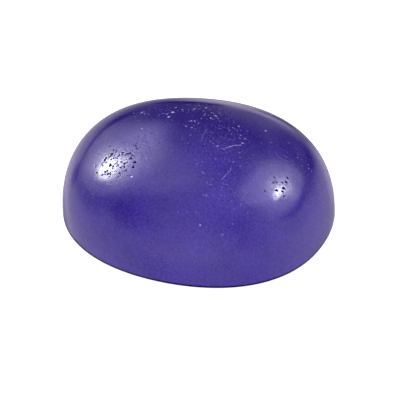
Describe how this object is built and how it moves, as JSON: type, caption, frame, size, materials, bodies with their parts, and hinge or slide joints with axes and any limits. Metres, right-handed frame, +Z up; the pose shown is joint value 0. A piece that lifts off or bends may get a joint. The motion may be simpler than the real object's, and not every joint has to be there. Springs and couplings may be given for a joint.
{
  "type": "oval jade cabochon",
  "caption": "Oval violet jade cabochon with a high polished dome and a flat lapped back.",
  "frame": {"origin": "middle of the flat back, at the crossing of the oval's two axes", "axes": "+X along the oval's length, +Y across it, +Z up out of the back to the crown of the dome"},
  "size_m": [0.018, 0.0144, 0.0076],
  "materials": {
    "jade": "polished"
  },
  "bodies": {
    "root": {"cabochon": "jade"}
  },
  "joints": []
}
